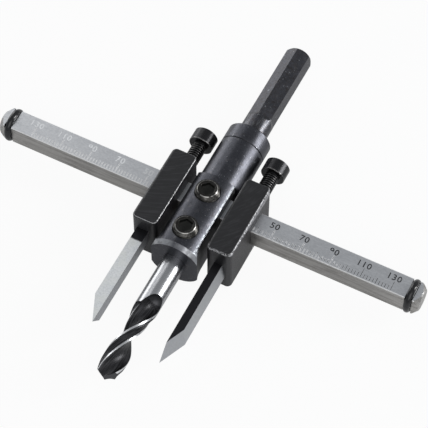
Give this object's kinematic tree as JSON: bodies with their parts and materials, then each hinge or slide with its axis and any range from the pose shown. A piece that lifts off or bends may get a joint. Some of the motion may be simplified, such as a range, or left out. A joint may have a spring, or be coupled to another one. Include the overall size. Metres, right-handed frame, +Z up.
{
  "type": "adjustable circle cutter",
  "caption": "Twin-arm circle cutter for a drill: square scale bar through a turned body with a hexagonal shank, sliding holders with pointed cutters, and a fluted pilot drill.",
  "frame": {"origin": "on the bench, straight below the crossing of the scale bar's axis and the pilot drill's axis", "axes": "+X along the scale bar, +Y from the pilot drill towards the shank, +Z up, with the set screws on top"},
  "size_m": [0.1456, 0.1332, 0.0206],
  "materials": {
    "blackened_steel": "black oxide, satin",
    "blackened_block": "black oxide, matt",
    "screw_steel": "black oxide, oiled",
    "worn_screw_steel": "black oxide, worn at the rim",
    "bar_steel": "fine ground, satin",
    "cutter_steel": "ground",
    "drill_steel": "polished, dark in the flutes",
    "ring_rubber": "smooth, glossy"
  },
  "bodies": {
    "arbor": {"body": "blackened_steel"},
    "bar": {"scale_bar": "bar_steel", "left_o_ring": "ring_rubber", "right_o_ring": "ring_rubber"},
    "right_arm": {"right_tool_holder": "blackened_block", "right_cutter": "cutter_steel"},
    "left_arm": {"left_tool_holder": "blackened_block", "left_cutter": "cutter_steel"},
    "right_clamp_screw": {"right_clamp_screw": "screw_steel"},
    "left_clamp_screw": {"left_clamp_screw": "screw_steel"},
    "pilot_drill": {"pilot_drill": "drill_steel"},
    "bar_set_screw": {"bar_set_screw": "worn_screw_steel"},
    "drill_set_screw": {"drill_set_screw": "worn_screw_steel"}
  },
  "joints": [
    {"name": "bar_slide", "type": "slide", "parent": "arbor", "child": "bar", "axis": [1, 0, 0], "range_m": [-0.0005, 0.0005]},
    {"name": "right_arm_slide", "type": "slide", "parent": "bar", "child": "right_arm", "axis": [1, 0, 0], "range_m": [-0.0005, 0.0511]},
    {"name": "left_arm_slide", "type": "slide", "parent": "bar", "child": "left_arm", "axis": [-1, 0, 0], "range_m": [-0.0005, 0.0511]},
    {"name": "right_clamp_screw_turn", "type": "hinge", "parent": "right_arm", "child": "right_clamp_screw", "pos_m": [0.0127, 0.0222, 0.0096], "axis": [0, 1, 0], "range_deg": [0, 360]},
    {"name": "left_clamp_screw_turn", "type": "hinge", "parent": "left_arm", "child": "left_clamp_screw", "pos_m": [-0.0127, 0.0222, 0.0096], "axis": [0, 1, 0], "range_deg": [0, 360]},
    {"name": "pilot_drill_slide", "type": "slide", "parent": "arbor", "child": "pilot_drill", "axis": [0, -1, 0], "range_m": [0, 0.016]},
    {"name": "bar_set_screw_turn", "type": "hinge", "parent": "arbor", "child": "bar_set_screw", "pos_m": [0, 0, 0.017], "axis": [0, 0, 1], "range_deg": [0, 360]},
    {"name": "drill_set_screw_turn", "type": "hinge", "parent": "arbor", "child": "drill_set_screw", "pos_m": [0, -0.0147, 0.017], "axis": [0, 0, 1], "range_deg": [0, 360]}
  ]
}
